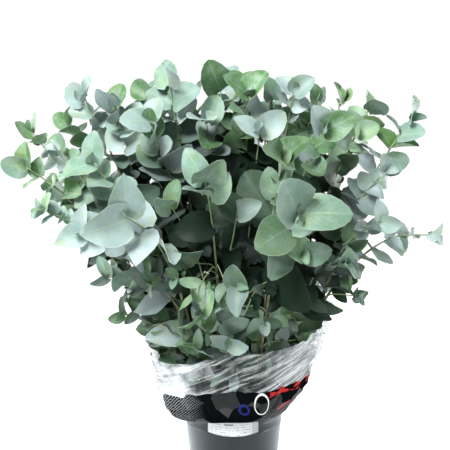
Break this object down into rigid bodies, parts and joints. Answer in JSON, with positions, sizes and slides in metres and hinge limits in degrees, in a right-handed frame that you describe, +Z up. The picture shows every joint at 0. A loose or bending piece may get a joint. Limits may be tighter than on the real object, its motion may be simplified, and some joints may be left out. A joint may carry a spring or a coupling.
{
  "type": "eucalyptus branches in a flower bucket",
  "caption": "Full bunch of silver-green eucalyptus branches in a clear film sleeve, standing in water in a plain black flower bucket.",
  "frame": {"origin": "middle of the bucket's flat base, on the surface it stands on", "axes": "+Z up along the bucket's axis; -Y is the front of the bunch, with the label; +X is to the right of a viewer in front"},
  "size_m": [0.7891, 0.5968, 0.8765],
  "materials": {
    "leaf": "matt waxy blue-green leaves on yellow-green to brown twigs",
    "bucket": "satin black moulded plastic",
    "film": "clear glossy film with a black printed band",
    "paper": "matt white sticker paper",
    "water": "clear still water"
  },
  "bodies": {
    "root": {"branch_left_star": "leaf", "branch_right_star": "leaf", "branch_front_star": "leaf", "branch_low_front": "leaf", "branch_low_left": "leaf", "branch_far_left": "leaf", "branch_upper_left": "leaf", "branch_tall_left": "leaf", "branch_tall_middle": "leaf", "branch_tall_front": "leaf", "branch_tall_right": "leaf", "branch_upper_right": "leaf", "branch_far_right": "leaf", "branch_low_right": "leaf", "branch_back_left": "leaf", "branch_back": "leaf", "branch_back_right": "leaf", "bucket": "bucket", "sleeve": "film", "label": "paper", "water": "water"}
  },
  "joints": []
}
